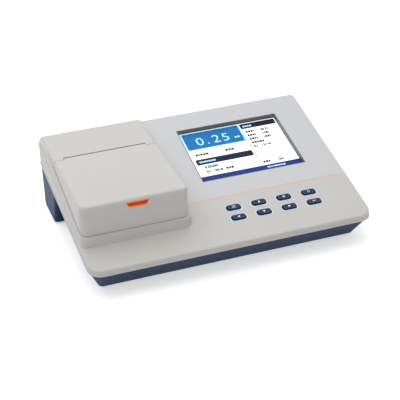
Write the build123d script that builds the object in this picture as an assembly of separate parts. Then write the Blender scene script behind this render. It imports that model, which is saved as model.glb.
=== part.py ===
from build123d import *
from math import cos, radians, sin, tan
import os

# Bench turbidity meter. Lengths in mm, angles in degrees.
# Origin on the table under the middle of the body, X to the right, Y to the rear, Z up.

# Body
body_width = 300.0
body_depth = 210.5
corner_radius = 14.0
rear_corner_radius = 6.0
wall = 2.6
panel_tilt = 12.8
panel_front_height = 31.8
parting_tilt = 7.15
parting_front_height = 25.9
top_edge_radius = 2.4
lip_height = 1.6
lip_step = 0.6
seam_gap = 0.2

# Base
foot_proud = 1.5
floor_thickness = 2.6
base_side_setback = 12.8
base_front_setback = 20.7
base_corner_radius = 5.0
base_rim_step = 1.2
tongue_height = 2.4
rear_block_depth = 51.0
rear_block_lean = 17.0
rear_block_radius = 4.5
rear_setback = 0.8
foot_diameter = 14.0
foot_recess = 1.2
foot_inset_x = 42.0
foot_inset_front = 24.0
foot_inset_rear = 18.0
foot_edge = 0.8
rib_thickness = 1.8
rib_height = 4.0
rib_from_front = 33.0
rib_pitch = 40.0

# Turret over the sample compartment
turret_left_margin = 3.5
turret_right_from_middle = 35.2
turret_front_margin = 38.3
turret_rear_margin = 1.7
turret_top = 82.5
turret_corner = 7.0
turret_edge_radius = 3.0
collar_rise = 9.2
collar_ledge = 1.0
collar_flare_front = 2.8
collar_flare_left = 1.2
collar_flare_right = 3.2
collar_flare_rear = 1.0
collar_corner_front_right = 13.0
collar_corner = 6.0
ring_width = 5.0

# Lid and hinge
lid_wall = 2.5
lid_gap = 0.5
hinge_from_front = 108.0
barrel_radius = 2.5
barrel_clearance = 0.7
ear_width = 11.0
ear_gap = 0.45
ear_front_gap = 0.6
pin_radius = 1.0
pin_length = 18.0
pin_running_gap = 0.05
liner_gap = 0.4
liner_offset = 5.6
liner_wall = 1.8
liner_rim_rise = 1.3
liner_post_height = 5.0
liner_post_side_inset = 17.65
liner_post_end_inset = 18.0
hood_radius = 21.0
hood_wall = 2.0
hood_drop = 8.0
pull_width = 24.8
pull_height = 6.8
pull_foot_width = 20.0
pull_drop = 2.8
pull_depth = 6.5
pull_wall = 1.2
pull_from_left = 58.4

# Sample compartment
tray_flange_recess = 1.8
tray_flange_width = 4.0
tray_flange_thickness = 2.0
tray_wall = 2.0
tray_gap = 0.3
deck_height = 46.0
deck_thickness = 2.5
seal_inset = 0.4
seal_width = 2.4
seal_height = 1.3
seal_rest_gap = 0.3
well_radius = 12.8
well_floor_height = 12.0
well_from_lid_front = 54.0
holder_side = 58.0
holder_corner = 4.0
holder_floor = 3.0
holder_screw_inset = 5.0
beam_height = 28.0
beam_radius = 3.0
lamp_bore_radius = 6.0
lamp_bore_depth = 12.0
lens_thickness = 3.0
bulb_radius = 3.4
bulb_length = 5.0
socket_wall = 1.5
socket_length = 5.0
socket_depth = 2.0
socket_collar = 2.5
detector_radius = 4.6
detector_length = 6.0
detector_bore_depth = 8.0
detector_board_side = 20.0
optics_fit = 0.1

# Display, a 5.7 inch module with an active area of 115.2 by 86.4
display_left_margin = 34.3
display_right_margin = 35.9
display_front_margin = 94.73
display_rear_margin = 30.63
bezel_wall = 0.8
bezel_flange = 4.0
bezel_flange_thickness = 1.5
bezel_fit = 0.1
window_thickness = 1.0
module_side_margin = 10.5
module_end_margin = 6.35
module_thickness = 7.0
module_rim = 1.5
glass_thickness = 0.6
clamp_thickness = 1.6
clamp_band = 9.0
clamp_ear = 9.0
clamp_screw_inset = 8.0

# Keys
key_width = 15.4
key_height = 7.6
key_corner = 3.0
key_block_inset = 8.25
key_pitch_y = 15.25
key_rows_from_front = 41.7
key_proud = 1.4
key_edge = 0.6
key_travel = 0.8
key_side_gap = 0.35
key_flange = 1.2
key_flange_thickness = 1.0
key_flange_gap = 0.15
key_stem_radius = 1.7
key_stem_entry = 0.6
key_switch_side = 6.0
key_switch_height = 4.0
key_stop_gap = 0.2
key_board_margin = 8.0
key_screw_inset = 4.0
key_names = [["mode", "up", "adjust", "power"], ["left", "down", "right", "enter"]]

# Boards
board_thickness = 1.6
main_board_left_gap = 31.2
main_board_right_gap = 30.0
main_board_depth = 84.0
main_board_height = 12.0
main_board_from_rear = 66.0
main_screw_inset = 5.0

# Connectors in the rear wall
bay_side_gap = 4.0
bay_height = 20.0
bay_depth = 12.0
bay_right_margin = 46.0
bay_middle_height = 26.0
connector_board_width = 84.0
connector_board_height = 18.0
power_jack_inset = 9.0
usb_socket_off_middle = 0.7
serial_socket_inset = 20.0
power_jack_radius = 5.5
power_jack_flange = 1.5
power_jack_bore = 3.2
power_jack_pin = 1.05
power_jack_length = 5.0
usb_width = 12.0
usb_height = 10.8
usb_chamfer = 2.6
usb_length = 5.0
serial_width = 17.0
serial_height = 8.4
serial_length = 6.0
serial_plate_width = 30.8
serial_plate_height = 12.4
serial_plate_thickness = 0.8
serial_screw_spread = 25.0
serial_pin_pitch = 2.77
serial_row_pitch = 2.84
serial_pin_radius = 0.5
shell_wall = 0.6
hex_across = 5.0
hex_length = 4.8
socket_fit = 0.15

# Screws and bosses
boss_radius = 3.6
screw_radius = 1.4
screw_head_radius = 2.8
screw_head_height = 2.0
screw_pass = 0.2
screw_bite = 4.0
screw_hole_spare = 1.0
case_boss_radius = 5.0
case_head_bore = 3.6
case_head_depth = 5.6
case_side_inset = 22.0
case_rear_side_inset = 8.5
case_front_inset = 30.0
case_rear_inset = 16.0
case_middle_gap = 13.0
small_boss_radius = 2.8

# Sizes and places that follow from the others
left = -body_width / 2
right = body_width / 2
front = -body_depth / 2
rear = body_depth / 2
sky = 2 * turret_top
normal = Vector(0, -sin(radians(panel_tilt)), cos(radians(panel_tilt)))
turret_right = -turret_right_from_middle
turret_width = turret_right - left - turret_left_margin
turret_depth = body_depth - turret_front_margin - turret_rear_margin
turret_x = turret_right - turret_width / 2
turret_y = front + turret_front_margin + turret_depth / 2
lid_front_y = front + turret_front_margin
hinge_y = lid_front_y + hinge_from_front
hinge_z = turret_top - barrel_radius
rear_wall_y = hinge_y + barrel_radius + barrel_clearance
lid_middle_y = (lid_front_y + hinge_y) / 2
ear_front_y = hinge_y - barrel_radius - ear_front_gap
well_y = lid_front_y + well_from_lid_front
holder_top = deck_height - deck_thickness
liner_top = turret_top - lid_wall - liner_post_height
seal_low = collar_rise - tray_flange_recess
flange_low = seal_low - tray_flange_thickness
window_lift = -(wall + bezel_flange_thickness)
module_lift = window_lift - window_thickness
clamp_lift = module_lift - module_thickness
display_left = turret_right + display_left_margin
display_width = right - display_right_margin - display_left
display_height = (body_depth - display_front_margin - display_rear_margin) / cos(radians(panel_tilt))
console_x = display_left + display_width / 2
display_y = (front + display_front_margin + rear - display_rear_margin) / 2
sleeve_width = display_width + 2 * bezel_wall
sleeve_height = display_height + 2 * bezel_wall
module_width = display_width + 2 * module_side_margin
module_height = display_height + 2 * module_end_margin
keys_y = front + key_rows_from_front
key_pitch_x = (display_width - 2 * key_block_inset - key_width) / 3
key_flange_top = -wall - key_flange_gap
key_board_drop = (
    key_flange_thickness - key_flange_top + key_travel + key_stop_gap + key_switch_height
)
key_board_width = 3 * key_pitch_x + key_width + 2 * key_board_margin
key_board_height = key_pitch_y + key_height + 2 * key_board_margin
main_board_left = turret_right + main_board_left_gap
main_board_width = right - main_board_right_gap - main_board_left
main_board_x = main_board_left + main_board_width / 2
main_board_y = rear - main_board_from_rear
main_board_top = main_board_height + board_thickness
floor_top = foot_proud + floor_thickness
bay_back_y = rear - rear_setback - bay_depth
bay_width = connector_board_width + 2 * bay_side_gap
bay_x = right - bay_right_margin - bay_width / 2
power_jack_place = power_jack_inset - connector_board_width / 2
serial_socket_place = connector_board_width / 2 - serial_socket_inset
jack_right = power_jack_place + power_jack_radius + power_jack_flange
serial_left = serial_socket_place - serial_plate_width / 2
usb_socket_place = (jack_right + serial_left) / 2 + usb_socket_off_middle
liner_post_spread_x = turret_width - 2 * liner_post_side_inset
liner_post_spread_y = hinge_from_front - 2 * liner_post_end_inset

STAND = (Align.CENTER, Align.CENTER, Align.MIN)
HANG = (Align.CENTER, Align.CENTER, Align.MAX)


def panel_z(y):
    """Height of the sloping panel."""
    return panel_front_height + (y - front) * tan(radians(panel_tilt))


def parting_z(y):
    """Height of the joint between the two shells."""
    return parting_front_height + (y - front) * tan(radians(parting_tilt))


def panel_plane(x, y, lift=0.0):
    """Plane parallel to the panel, lifted along its normal, with local Y up the slope."""
    foot = Vector(x, y, panel_z(y)) + normal * lift
    return Plane(origin=foot, x_dir=(1, 0, 0), z_dir=normal)


def between(low, high):
    """Everything between two heights that are given as functions of y, a little past the body."""
    y1 = front - corner_radius
    y2 = rear + corner_radius
    side = Polyline((y1, low(y1)), (y2, low(y2)), (y2, high(y2)), (y1, high(y1)), close=True)
    return extrude(Plane.YZ * make_face(side), amount=body_width, both=True)


def layer(low, high):
    """Everything between two planes parallel to the panel, at heights along its normal."""
    slope = cos(radians(panel_tilt))
    return between(lambda y: panel_z(y) + low / slope, lambda y: panel_z(y) + high / slope)


def block(x1, x2, y1, y2, z1, z2):
    """Box between two corners."""
    size = Box(x2 - x1, y2 - y1, z2 - z1)
    return Pos((x1 + x2) / 2, (y1 + y2) / 2, (z1 + z2) / 2) * size


def side_block(side, near, far, y1, y2, z1, z2):
    """Box on one side of the turret's middle, between two distances from it."""
    x1 = turret_x + side * near
    x2 = turret_x + side * far
    return block(min(x1, x2), max(x1, x2), y1, y2, z1, z2)


def corners(width, height):
    """Four corner points of a rectangle about the origin."""
    return [(sx * width / 2, sy * height / 2) for sx in (-1, 1) for sy in (-1, 1)]


def body_outline(inset, depth=body_depth):
    """Body's outline, drawn in by inset, with larger corners at the front than at the rear."""
    outline = Rectangle(body_width - 2 * inset, depth - 2 * inset)
    outline = fillet(outline.vertices().group_by(Axis.Y)[0], corner_radius - inset)
    return fillet(outline.vertices().group_by(Axis.Y)[-1], max(rear_corner_radius - inset, 0.5))


def body_column(inset):
    """Upright prism of the body's outline, drawn in by inset."""
    return extrude(body_outline(inset), amount=sky)


def turret_column(inset, top_drop=0.0):
    """Upright prism of the turret's outline, drawn in by inset."""
    outline = RectangleRounded(turret_width - 2 * inset, turret_depth - 2 * inset, turret_corner - inset)
    return Pos(turret_x, turret_y) * extrude(outline, amount=turret_top - top_drop)


def rounded_turret():
    """Outside of the turret with its rounded top edge."""
    column = turret_column(0)
    return fillet(column.edges().group_by(Axis.Z)[-1], turret_edge_radius)


def compartment_column(inset):
    """Upright prism over the sample compartment, between the lid's front and the hinge."""
    radius = max(turret_corner - inset, tray_wall)
    outline = RectangleRounded(turret_width - 2 * inset, hinge_from_front - 2 * inset, radius)
    return Pos(turret_x, lid_middle_y) * extrude(outline, amount=sky)


def screw(plane, length):
    """Pan-head screw whose head rests on the plane and whose shank goes down from it."""
    head = Cylinder(screw_head_radius, screw_head_height, align=STAND)
    head = chamfer(head.edges().group_by(Axis.Z)[-1], screw_head_height / 4)
    shank = Cylinder(screw_radius, length, align=HANG)
    return plane * (head + shank)


# Places that several pieces share
case_points = [
    (left + case_side_inset, front + case_front_inset),
    (right - case_side_inset, front + case_front_inset),
    (turret_right + case_middle_gap, front + case_front_inset),
    (left + case_rear_side_inset, rear - case_rear_inset),
    (right - case_rear_side_inset, rear - case_rear_inset),
    (turret_right + case_middle_gap, rear - case_rear_inset),
]
foot_points = [
    (sx * (body_width / 2 - foot_inset_x), y)
    for sx in (-1, 1)
    for y in (front + base_front_setback + foot_inset_front, rear - foot_inset_rear)
]
main_board_points = [
    (main_board_x + x, main_board_y + y)
    for x, y in corners(main_board_width - 2 * main_screw_inset, main_board_depth - 2 * main_screw_inset)
]
clamp_points = corners(module_width + clamp_ear, module_height - 2 * clamp_screw_inset)
key_board_points = corners(key_board_width - 2 * key_screw_inset, key_board_height - 2 * key_screw_inset)
holder_points = [
    (turret_x + x, well_y + y)
    for x, y in corners(holder_side - 2 * holder_screw_inset, holder_side - 2 * holder_screw_inset)
]
liner_points = [
    (turret_x + x, lid_middle_y + y) for x, y in corners(liner_post_spread_x, liner_post_spread_y)
]


def key_places():
    """Name and centre of each key, as offsets along the panel from the middle of the block."""
    for row, names in enumerate(key_names):
        for column, name in enumerate(names):
            yield name, (column - 1.5) * key_pitch_x, (0.5 - row) * key_pitch_y


def collar():
    """Flared collar between the panel and the lid's edge, parallel to the panel at its top."""
    slope = cos(radians(panel_tilt))
    half_x = turret_width / 2 + collar_ledge
    half_y = turret_depth / 2 + collar_ledge
    top = RectangleRounded(2 * half_x, 2 * half_y / slope, turret_corner + collar_ledge)
    low_left = -half_x - collar_flare_left
    low_front = -(half_y + collar_flare_front) / slope
    low = Polygon(
        (low_left, low_front),
        (half_x + collar_flare_right, low_front),
        (half_x + collar_flare_rear, half_y / slope),
        (low_left, half_y / slope),
        align=None,
    )
    low = fillet(low.vertices().group_by(Axis.X)[-1], collar_corner_front_right)
    low = fillet([v for v in low.vertices() if v.X < 0 or v.Y > half_y - collar_corner], collar_corner)
    foot = panel_plane(turret_x, turret_y) * low
    flank = loft([foot, panel_plane(turret_x, turret_y, collar_rise) * top])
    return flank + extrude(foot, amount=-wall)


def top_shell():
    """White upper housing: wedge, collar, fixed rear part of the turret, ears and inner bosses."""
    crust = body_column(lip_step) & between(parting_z, panel_z)
    top_face = crust.faces().filter_by(lambda f: f.normal_at().Z > 0.9)
    crust = fillet(top_face.edges(), top_edge_radius)
    lip = body_column(0) & between(parting_z, lambda y: parting_z(y) + lip_height)
    lip_face = lip.faces().filter_by(lambda f: f.normal_at().Z > 0.9)
    crust += chamfer(lip_face.edges(), lip_step * 0.6)

    fixed = rounded_turret() & block(left, right, rear_wall_y, rear, parting_front_height, turret_top)
    fixed &= between(lambda y: panel_z(y) - wall, lambda y: sky)
    ring_top = turret_top - turret_edge_radius / 2
    ring = collar() & body_column(lip_step) & block(left, right, front, rear, 0, ring_top)
    solid = crust + ring + fixed

    panel_drop = wall / cos(radians(panel_tilt))
    solid -= body_column(lip_step + wall) & between(
        lambda y: parting_z(y) - wall, lambda y: panel_z(y) - panel_drop
    )
    hollow = turret_column(lid_wall, lid_wall) & body_column(lip_step + wall)
    solid -= hollow & block(left, right, rear_wall_y + lid_wall, rear, parting_front_height, turret_top)

    solid -= compartment_column(ring_width + tray_flange_width)
    solid -= compartment_column(ring_width) & layer(flange_low, collar_rise + turret_top)
    solid += hinge_ears()
    for side in (-1, 1):
        solid -= hinge_cylinder(pin_radius + pin_running_gap, side, pin_length / 2 + pin_running_gap)

    opening = Rectangle(sleeve_width + 2 * bezel_fit, sleeve_height + 2 * bezel_fit)
    solid -= panel_plane(console_x, display_y) * extrude(opening, amount=2 * wall, both=True)
    hole = RectangleRounded(
        key_width + 2 * key_side_gap, key_height + 2 * key_side_gap, key_corner + key_side_gap
    )
    for _, x, y in key_places():
        place = panel_plane(console_x, keys_y) * Pos(x, y)
        solid -= place * extrude(hole, amount=2 * wall, both=True)
    for boss in upper_bosses():
        solid += boss
    return solid


def hinge_ears():
    """Two fixed ears, one at each side, that carry the pins at the front of the rear part."""
    half = turret_width / 2
    ears = []
    for side in (-1, 1):
        middle = turret_x + side * (half - ear_width / 2)
        nose = Pos(middle, hinge_y, hinge_z) * Rot(0, 90, 0) * Cylinder(barrel_radius, ear_width)
        pillar = side_block(
            side, half - ear_width, half, hinge_y - barrel_radius, hinge_y, parting_front_height, hinge_z
        )
        back = side_block(
            side, half - ear_width, half, hinge_y, rear_wall_y + lid_wall, parting_front_height, turret_top
        )
        ears.append((nose + pillar + back) & layer(collar_rise - wall, turret_top) & rounded_turret())
    return ears[0] + ears[1]


def hinge_cylinder(radius, side, reach):
    """Cylinder on the hinge axis, centred where the ear meets the lid's barrel."""
    joint_x = turret_x + side * (turret_width / 2 - ear_width - ear_gap / 2)
    return Pos(joint_x, hinge_y, hinge_z) * Rot(0, 90, 0) * Cylinder(radius, 2 * reach)


def upper_bosses():
    """Screw bosses under the panel: for the case, the display clamp and the key board."""
    bosses = []
    for x, y in case_points:
        post = Pos(x, y) * Cylinder(case_boss_radius, sky, align=STAND) & body_column(lip_step)
        post &= between(lambda v: parting_z(v) + seam_gap, lambda v: panel_z(v) - wall / 2)
        depth = parting_z(y) + screw_bite + screw_hole_spare
        bosses.append(post - Pos(x, y) * Cylinder(screw_radius, depth, align=STAND))
    plane = panel_plane(console_x, display_y)
    for x, y in clamp_points:
        bosses.append(plane * Pos(x, y) * hanging_boss(-clamp_lift))
    plane = panel_plane(console_x, keys_y)
    for x, y in key_board_points:
        bosses.append(plane * Pos(x, y) * hanging_boss(key_board_drop))
    return bosses


def hanging_boss(drop):
    """Round boss from inside the panel's wall down to drop below its face, with a screw hole."""
    post = Cylinder(small_boss_radius, drop - wall / 2, align=STAND)
    hole = Cylinder(screw_radius, screw_bite + screw_hole_spare, align=STAND)
    return Pos(0, 0, -drop) * (post - hole)


def display_bezel():
    """Dark frame that lines the screen's opening, with a flange under the panel."""
    sleeve = extrude(Rectangle(sleeve_width, sleeve_height), amount=-(wall + bezel_flange_thickness))
    flange = Rectangle(sleeve_width + 2 * bezel_flange, sleeve_height + 2 * bezel_flange)
    frame = sleeve + Pos(0, 0, -wall) * extrude(flange, amount=-bezel_flange_thickness)
    frame -= extrude(Rectangle(display_width, display_height), amount=3 * wall, both=True)
    return panel_plane(console_x, display_y) * frame


def display_window():
    """Clear cover sheet under the bezel."""
    sheet = Rectangle(sleeve_width + 2 * bezel_flange, sleeve_height + 2 * bezel_flange)
    sheet = chamfer(sheet.vertices(), bezel_flange / 2)
    plane = panel_plane(console_x, display_y, window_lift)
    return plane * extrude(sheet, amount=-window_thickness)


def display_module():
    """Screen module: metal tray with the glass let in at the top and a connector bar below."""
    tray = extrude(RectangleRounded(module_width, module_height, module_rim), amount=-module_thickness)
    sheet = Rectangle(module_width - 2 * module_rim, module_height - 2 * module_rim)
    glass = Rectangle(module_width - 4 * module_rim, module_height - 4 * module_rim)
    groove = extrude(sheet, amount=-glass_thickness) - extrude(glass, amount=-module_rim)
    bar = Box(module_width / 2, clamp_band, wall, align=HANG)
    bar = Pos(0, -module_height / 4, -module_thickness) * bar
    return panel_plane(console_x, display_y, module_lift) * (tray - groove + bar)


def clamp_frame():
    """Sheet frame that holds the display module up against the bezel."""
    outline = RectangleRounded(module_width + 2 * clamp_ear, module_height, clamp_ear / 2)
    outline -= Rectangle(module_width - 2 * clamp_band, module_height - 2 * clamp_band)
    for x, y in clamp_points:
        outline -= Pos(x, y) * Circle(screw_radius + screw_pass)
    plane = panel_plane(console_x, display_y, clamp_lift)
    return plane * extrude(outline, amount=-clamp_thickness)


def clamp_screws():
    """Four screws of the clamp frame."""
    plane = panel_plane(console_x, display_y, clamp_lift - clamp_thickness)
    return [plane * Pos(x, y) * upward_screw(clamp_thickness) for x, y in clamp_points]


def upward_screw(grip):
    """Screw that goes up through a sheet into a boss, with its head against the sheet's underside."""
    return screw(Plane(origin=(0, 0, 0), x_dir=(1, 0, 0), z_dir=(0, 0, -1)), grip + screw_bite)


def key(x, y):
    """Key cap with rounded ends, a retaining flange under the panel and a stem to its switch."""
    outline = RectangleRounded(key_width, key_height, key_corner)
    cap = Pos(0, 0, key_proud) * extrude(outline, amount=-(key_proud + wall + key_flange_gap))
    cap = chamfer(cap.edges().group_by(Axis.Z)[-1], key_edge)
    flange = RectangleRounded(key_width + 2 * key_flange, key_height + 2 * key_flange, key_corner)
    cap += Pos(0, 0, key_flange_top) * extrude(flange, amount=-key_flange_thickness)
    stem_low = key_board_drop - key_switch_height + key_stem_entry
    cap += Pos(0, 0, key_flange_top) * Cylinder(key_stem_radius, stem_low + key_flange_top, align=HANG)
    return panel_plane(console_x, keys_y) * Pos(x, y) * cap


def key_board():
    """Circuit board under the keys."""
    outline = RectangleRounded(key_board_width, key_board_height, key_screw_inset / 2)
    for x, y in key_board_points:
        outline -= Pos(x, y) * Circle(screw_radius + screw_pass)
    plane = panel_plane(console_x, keys_y, -key_board_drop)
    return plane * extrude(outline, amount=-board_thickness)


def key_switches():
    """One switch body under each key, with a pocket that the key's stem enters."""
    plane = panel_plane(console_x, keys_y, -key_board_drop)
    pocket_depth = key_stem_entry + key_travel + key_side_gap
    body = Box(key_switch_side, key_switch_side, key_switch_height, align=STAND)
    body = chamfer(body.edges().filter_by(Axis.Z), key_switch_side / 10)
    pocket = Cylinder(key_stem_radius + key_side_gap, pocket_depth, align=HANG)
    body -= Pos(0, 0, key_switch_height) * pocket
    return [plane * Pos(x, y) * body for _, x, y in key_places()]


def key_board_screws():
    """Four screws of the key board."""
    plane = panel_plane(console_x, keys_y, -key_board_drop - board_thickness)
    return [plane * Pos(x, y) * upward_screw(board_thickness) for x, y in key_board_points]


def lid_zone():
    """Space that the lid may fill, from the collar up and in front of the hinge axis."""
    return block(left, right, front, hinge_y, 0, sky) & layer(collar_rise + lid_gap, turret_top)


def sample_lid():
    """White lid: walls all round, a hinge barrel between the ears, posts for the liner."""
    half = turret_width / 2
    barrel_half = half - ear_width - ear_gap
    inside = turret_column(lid_wall, lid_wall) & block(left, right, front, hinge_y - lid_wall, 0, sky)
    lid = (rounded_turret() - inside) & lid_zone()
    for x, y in liner_points:
        post = Cylinder(boss_radius, liner_post_height + lid_wall / 2, align=STAND)
        post -= Cylinder(screw_radius, screw_bite + screw_hole_spare, align=STAND)
        lid += Pos(x, y, liner_top) * post
    for side in (-1, 1):
        notch = side_block(side, barrel_half, half + 1, ear_front_y, rear, 0, sky)
        corner = side_block(
            side, barrel_half - lid_wall, half, ear_front_y - lid_wall, hinge_y, 0, turret_top
        )
        lid += (corner & rounded_turret() & lid_zone()) - notch
        lid -= notch
    barrel = Pos(turret_x, hinge_y, hinge_z) * Rot(0, 90, 0) * Cylinder(barrel_radius, 2 * barrel_half)
    lid += barrel
    for side in (-1, 1):
        lid -= hinge_cylinder(pin_radius, side, pin_length / 2)
    return lid - pull_shape(0.0, pull_depth)


def pull_shape(grow, depth):
    """Pocket of the finger pull, straight at the top and rounded at the bottom, from the front."""
    x = left + turret_left_margin + pull_from_left
    top = turret_top - pull_drop + grow
    low = turret_top - pull_drop - pull_height - grow
    half_top = pull_width / 2 + grow
    half_low = pull_foot_width / 2 + grow
    outline = Polygon(
        (x - half_top, top),
        (x - half_low, low),
        (x + half_low, low),
        (x + half_top, top),
        align=None,
    )
    outline = fillet(outline.vertices().group_by(Axis.Y)[0], pull_height / 2)
    face = Plane(origin=(0, lid_front_y, 0), x_dir=(1, 0, 0), z_dir=(0, -1, 0)) * outline
    return extrude(face, amount=-depth) + extrude(face, amount=1.0)


def finger_pull():
    """Orange cup that lines the pocket in the front of the lid."""
    cup = pull_shape(0.0, pull_depth) & block(left, right, lid_front_y, hinge_y, 0, turret_top)
    return cup - pull_shape(-pull_wall, pull_depth - pull_wall)


def lid_liner():
    """Black liner in the lid, with a rim over the collar and a hood over the cell's cap."""
    plate_low = liner_top - liner_wall
    shell = compartment_column(liner_offset) & block(left, right, front, rear, 0, liner_top)
    shell -= compartment_column(liner_offset + liner_wall) & block(left, right, front, rear, 0, plate_low)
    shell &= layer(seal_low + seal_height + seal_rest_gap, sky)
    rim = compartment_column(lid_wall + liner_gap) - compartment_column(liner_offset)
    rim_low = collar_rise + liner_rim_rise
    liner = shell + (rim & layer(rim_low, rim_low + liner_wall))
    hood = Circle(hood_radius) - Circle(hood_radius - hood_wall)
    liner += Pos(turret_x, well_y, plate_low) * extrude(hood, amount=-hood_drop)
    liner -= pull_shape(liner_gap, pull_depth + liner_gap)
    half = turret_width / 2
    room_y = ear_front_y - lid_wall - liner_gap
    for side in (-1, 1):
        near = half - ear_width - ear_gap - lid_wall - liner_gap
        liner -= side_block(side, near, half, room_y, rear, 0, sky)
    for x, y in liner_points:
        liner -= Pos(x, y) * Cylinder(screw_radius + screw_pass, liner_top + 1, align=STAND)
    return liner


def liner_screws():
    """Four screws that go up through the liner into the lid's posts."""
    return [Pos(x, y, liner_top - liner_wall) * upward_screw(liner_wall) for x, y in liner_points]


def lid_seal():
    """Foam frame that lies on the tray's flange under the liner's wall."""
    outer = ring_width + seal_inset
    return (compartment_column(outer) - compartment_column(outer + seal_width)) & layer(
        seal_low, seal_low + seal_height
    )


def sample_tray():
    """Black tray under the lid: flange on the collar, tub walls and a level floor round the well."""
    flange = compartment_column(ring_width + tray_gap) & layer(flange_low, seal_low)
    outer = ring_width + tray_flange_width + tray_gap
    tub = compartment_column(outer) & block(left, right, front, rear, holder_top, sky)
    tub &= layer(-sky, seal_low)
    tray = flange + tub
    tray -= compartment_column(outer + tray_wall) & block(left, right, front, rear, deck_height, sky)
    tray -= Pos(turret_x, well_y) * Cylinder(well_radius, sky)
    for x, y in holder_points:
        tray -= Pos(x, y) * Cylinder(screw_radius + screw_pass, sky)
    return tray


def holder_place(turn):
    """Beam's axis where it enters one side of the cell holder, seen from outside, turned from the front."""
    return (
        Pos(turret_x, well_y, beam_height)
        * Rot(0, 0, turn)
        * Pos(0, -holder_side / 2, 0)
        * Rot(-90, 0, 0)
    )


def cell_holder():
    """Black block under the tray with the well for the round sample cell and its three light ports."""
    low = well_floor_height - holder_floor
    outline = RectangleRounded(holder_side, holder_side, holder_corner)
    body = Pos(turret_x, well_y, low) * extrude(outline, amount=holder_top - low)
    body -= Pos(turret_x, well_y, well_floor_height) * Cylinder(well_radius, sky, align=STAND)
    for turn in (0, 90, 180):
        body -= holder_place(turn) * Cylinder(beam_radius, holder_side / 2, align=STAND)
    body -= holder_place(0) * Cylinder(lamp_bore_radius, lamp_bore_depth, align=STAND)
    for turn in (90, 180):
        body -= holder_place(turn) * Cylinder(detector_radius, detector_bore_depth, align=STAND)
    for x, y in holder_points:
        body -= Pos(x, y, holder_top) * Cylinder(screw_radius, 2 * (screw_bite + screw_hole_spare))
    return body


def holder_screws():
    """Four screws through the tray's floor into the cell holder."""
    return [screw(Plane(origin=(x, y, deck_height)), deck_thickness + screw_bite) for x, y in holder_points]


def collimating_lens():
    """Plano-convex lens at the bottom of the lamp's port."""
    radius = lamp_bore_radius - optics_fit
    edge = lens_thickness / 2
    arc = ThreePointArc((0, lens_thickness), (radius * 0.6, lens_thickness * 0.84), (radius, edge))
    profile = arc + Polyline((radius, edge), (radius, 0), (0, 0), (0, lens_thickness))
    lens = revolve(Plane.XZ * make_face(profile), Axis.Z)
    return holder_place(0) * Pos(0, 0, lamp_bore_depth) * Rot(180, 0, 0) * lens


def lamp():
    """Small lamp with a round end, standing in its socket."""
    bulb = Cylinder(bulb_radius, bulb_length, align=STAND) + Pos(0, 0, bulb_length) * Sphere(bulb_radius)
    return holder_place(0) * Pos(0, 0, -socket_depth) * bulb


def lamp_socket():
    """Socket that closes the lamp's port and carries the lamp."""
    pocket = bulb_radius + optics_fit
    cap = Cylinder(lamp_bore_radius + 2 * socket_wall, socket_length, align=HANG)
    cap = chamfer(cap.edges().group_by(Axis.Z)[0], socket_wall / 2)
    plug = Cylinder(lamp_bore_radius - optics_fit, socket_collar, align=STAND)
    plug -= Cylinder(pocket, socket_collar, align=STAND)
    return holder_place(0) * (cap - Cylinder(pocket, socket_depth, align=HANG) + plug)


def detector(turn):
    """Photodiode in a round can with a flat carrier board outside the cell holder."""
    can = Cylinder(detector_radius - optics_fit, detector_length, align=STAND)
    can = chamfer(can.edges().group_by(Axis.Z)[-1], detector_length / 10)
    carrier = RectangleRounded(detector_board_side, detector_board_side, board_thickness)
    return holder_place(turn) * (can + extrude(carrier, amount=-board_thickness))


def hinge_pin(side):
    """Steel pin, tight in the lid's barrel and running in the ear."""
    pin = hinge_cylinder(pin_radius, side, pin_length / 2)
    return chamfer(pin.edges().filter_by(GeomType.CIRCLE), pin_radius / 4)


def base_hull(inset, floor_lift):
    """Tapered tub between the parting line and the floor."""
    slope = cos(radians(parting_tilt))
    rim_plane = Plane(
        origin=(0, 0, parting_z(0)), x_dir=(1, 0, 0), z_dir=(0, -sin(radians(parting_tilt)), slope)
    )
    rim = rim_plane * body_outline(base_rim_step + inset, body_depth / slope)
    low_front = front + base_front_setback + inset
    low_rear = rear - rear_setback - inset
    low = Pos(0, (low_front + low_rear) / 2, foot_proud + floor_lift) * RectangleRounded(
        body_width - 2 * (base_side_setback + inset), low_rear - low_front, base_corner_radius - inset
    )
    return loft([low, rim])


def rear_block(inset, floor_lift):
    """Full-width block at the rear that carries the high end, with a leaning front face."""
    low = foot_proud + floor_lift
    high = parting_z(rear)
    foot_y = rear - rear_block_depth + inset
    head_y = foot_y - (high - low) * tan(radians(rear_block_lean))
    back_y = rear - rear_setback - inset
    side = Polyline((foot_y, low), (back_y, low), (back_y, high), (head_y, high), close=True)
    half = body_width / 2 - base_rim_step - inset
    solid = extrude(Plane.YZ * make_face(side), amount=half, both=True)
    upright = solid.edges().filter_by(lambda e: abs(e.tangent_at(0).Z) > 0.8)
    return fillet(upright, rear_block_radius - inset) & between(lambda y: 0, parting_z)


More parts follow.
